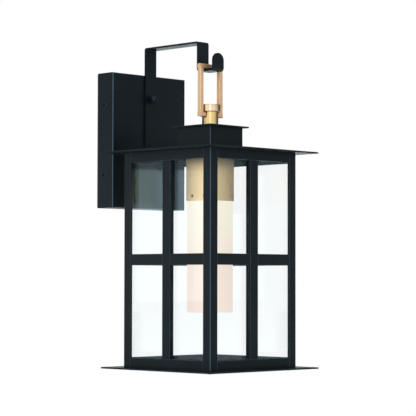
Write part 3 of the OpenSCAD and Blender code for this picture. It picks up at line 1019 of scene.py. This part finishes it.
@dataclass
class Cage:
    """Roof, posts, rails, stiles, panes and base."""

    shop: Workshop
    sides: tuple[str, ...] = ("front", "right", "back", "left")
    corners: tuple[str, ...] = ("front_left", "front_right", "back_right", "back_left")
    sheet_edge: float = 0.4
    post_edge: float = 0.3
    pane_edge: float = 0.3
    rubber_edge: float = 0.2
    clip_edge: float = 0.25

    def build(self) -> None:
        """Dresses the cage and makes its screws again."""
        shop = self.shop
        glass = PaneGlass("pane_glass").material()
        shop.finish(["roof_plate", "base_plate"], shop.coat, self.sheet_edge)
        shop.finish([f"post_{c}" for c in self.corners], shop.coat, self.post_edge)
        bars = ("top_rail", "mid_rail", "bottom_rail", "stile")
        shop.finish([f"{bar}_{s}" for bar in bars for s in self.sides], shop.coat, self.sheet_edge)
        shop.finish([f"glass_{s}" for s in self.sides], glass, self.pane_edge)
        shop.finish(["glazing_seals", "lantern_bushing"], shop.rubber, self.rubber_edge)
        shop.finish(["corner_blocks", "glass_clips"], shop.coat, self.clip_edge)
        self._screws()

    def _screws(self) -> None:
        """Screws through the base and screws of the pane clips."""
        soft = self.shop.softener
        low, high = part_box("post_front_left")
        middle = (low.z + high.z) / 2
        sets = (
            ScrewSet("base_screws", Body.LANTERN, Slot.COAT, 2.4 * MM, 4 * MM, Recess.CROSS,
                     lambda at: Vector((0, 0, -1)), soft, self.shop.coat),
            ScrewSet("clip_screws", Body.LANTERN, Slot.ZINC, 1.8 * MM, 3 * MM, Recess.CROSS,
                     lambda at: Vector((0, 0, 1 if at.z < middle else -1)), soft, self.shop.zinc),
        )
        for screws in sets:
            screws.build()
            log.info("made %s", screws.name)


@dataclass
class Lamp:
    """The brass sleeve with its opal tube and the lamp inside."""

    shop: Workshop
    sleeve_edge: float = 0.25
    metal_edge: float = 0.3
    tube_edge: float = 1.2
    holder_edge: float = 0.6

    def build(self) -> None:
        """Dresses the lamp and makes the tube's screws again."""
        shop = self.shop
        low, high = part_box("opal_tube")
        opal = LitOpal("lit_opal", high.z, low.z).material()
        shop.finish(["sleeve"], shop.brushed, self.sleeve_edge)
        shop.finish(["sleeve_nut", "bulb_cap"], shop.zinc, self.metal_edge)
        shop.finish(["opal_tube"], opal, self.tube_edge)
        shop.finish(["lampholder"], Porcelain("porcelain").material(), self.holder_edge)
        shop.finish(["bulb"], FrostedBulb("frosted_bulb").material(), 0.0)
        screws = ScrewSet(
            "tube_screws", Body.LANTERN, Slot.BRASS, 1 * MM, 2.5 * MM, Recess.SLOT,
            lambda at: Vector((math.copysign(1, at.x), 0, 0)), shop.softener, shop.bronze,
        )
        screws.build()
        log.info("made %s", screws.name)


# ---------- studio ----------


@dataclass
class SoftLight:
    """A soft rectangular lamp that shines at the lantern."""

    name: str
    place: tuple[float, float, float]
    width: float
    height: float
    radiance: float
    tint: Colour = (1.0, 1.0, 1.0)

    def build(self, target: Vector) -> None:
        """Hangs the lamp.

        Args:
            target: the point that it faces.
        """
        lamp = bpy.data.lights.new(self.name, "AREA")
        lamp.shape = "RECTANGLE"
        lamp.size, lamp.size_y = self.width, self.height
        lamp.energy = self.radiance * math.pi * self.width * self.height
        lamp.color = self.tint
        made = bpy.data.objects.new(self.name, lamp)
        made.location = self.place
        made.rotation_mode = "QUATERNION"
        made.rotation_quaternion = (target - Vector(self.place)).to_track_quat("-Z", "Y")
        made.visible_camera = False
        bpy.context.scene.collection.objects.link(made)


@dataclass
class Studio:
    """Camera, pale floor, soft lamps and the bright room round them."""

    azimuth: float = math.radians(-45.1748)
    pitch: float = math.radians(2.3558)
    roll: float = math.radians(0.0984)
    lens: float = 154.07
    eye: tuple[float, float, float] = (-1.67221, -1.80624, -0.19012)
    floor_drop: float = 1.7
    floor_radius: float = 12.0
    back_light: float = 0.15
    side_light: float = 0.78
    front_light: float = 1.3
    low_light: float = 1.1
    left_light: float = 0.05
    floor_thickness: float = 0.02
    floor_flats: int = 96

    def build(self) -> None:
        """Sets everything up."""
        self._camera()
        self._floor()
        self._world()
        self._lamps()

    def _camera(self) -> None:
        """Places the camera by its direction."""
        a, e, r = self.azimuth, self.pitch, self.roll
        ahead = Vector((-math.sin(a) * math.cos(e), math.cos(a) * math.cos(e), math.sin(e)))
        right = Vector((math.cos(a), math.sin(a), 0.0))
        above = right.cross(ahead)
        tilted = right * math.cos(r) + above * math.sin(r)
        upright = above * math.cos(r) - right * math.sin(r)
        data = bpy.data.cameras.new("camera")
        data.lens, data.sensor_width = self.lens, 36.0
        data.clip_start, data.clip_end = 0.05, 100.0
        made = bpy.data.objects.new("camera", data)
        turn = Matrix((tilted, upright, -ahead)).transposed()
        made.matrix_world = Matrix.Translation(self.eye) @ turn.to_4x4()
        bpy.context.scene.collection.objects.link(made)
        bpy.context.scene.camera = made
        log.info("placed camera")

    def _floor(self) -> None:
        """Lays a round pale floor under the lantern."""
        foot = -self.floor_drop - self.floor_thickness
        profile = [(0.0, foot), (self.floor_radius, foot)]
        profile += [(self.floor_radius, -self.floor_drop), (0.0, -self.floor_drop)]
        floor = new_object("floor", lathe(profile, self.floor_flats))
        dress(floor, PaleFloor("pale_floor").material())
        log.info("laid floor")

    def _world(self) -> None:
        """A white surround for the eye, and a softer room with a dim ceiling for light."""
        world = bpy.data.worlds.new("room")
        bpy.context.scene.world = world
        graph = Graph(world)
        way = graph.add("ShaderNodeTexCoord").outputs["Generated"]
        parts = graph.add("ShaderNodeSeparateXYZ", None, {0: way}).outputs
        x, y, z = (Signal(graph, parts[k]) for k in range(3))
        to_eye = (x + y) * -DIAGONAL
        to_left = (y - x) * DIAGONAL
        walls = self.back_light + to_eye.step(-0.3, 0.06) * (self.side_light - self.back_light)
        extra = self.front_light - self.side_light
        walls = walls + to_left * self.left_light + to_eye.step(0.1, 0.8) * extra
        upper = walls * (1.0 - z.step(0.1, 0.7) * 0.7)
        low = (z * -1.0).step(0.0, 0.05)
        room = upper + low * (self.low_light - upper)
        path = graph.add("ShaderNodeLightPath").outputs
        seen = Signal(graph, path["Is Camera Ray"])
        level = seen + (1.0 - seen) * room
        values = {"Color": (1.0, 1.0, 1.0), "Strength": level}
        glow = graph.add("ShaderNodeBackground", None, values)
        graph.finish(glow.outputs[0], "ShaderNodeOutputWorld")
        view = bpy.context.scene.view_settings
        view.view_transform = "Standard"
        view.look = "None"
        log.info("set room")

    def _lamps(self) -> None:
        """A broad lamp by the eye, and others at the left, above and low behind."""
        low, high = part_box("post_front_left")
        target = Vector((0.0, -0.148, (low.z + high.z) / 2))
        lamps = (
            SoftLight("front_lamp", (-1.75, -1.9, -0.05), 0.7, 1.1, 1.0),
            SoftLight("left_lamp", (-0.9, 0.75, -0.1), 0.8, 0.26, 0.95),
            SoftLight("top_lamp", (-0.2, -0.4, 1.7), 2.4, 2.4, 0.9),
            SoftLight("back_lamp", (1.55, 1.42, -0.16), 1.6, 0.5, 2.0, (0.74, 0.94, 1.0)),
        )
        for lamp in lamps:
            lamp.build(target)
            log.info("hung %s", lamp.name)


def main() -> None:
    """Builds the studio and then each sub-assembly."""
    logging.basicConfig(level=logging.INFO, format="%(message)s")
    Studio().build()
    shop = Workshop()
    for part in (WallFitting(shop), HangingLink(shop), Hub(shop), Cage(shop), Lamp(shop)):
        part.build()
        log.info("finished %s", type(part).__name__)


if __name__ == "__main__":
    main()
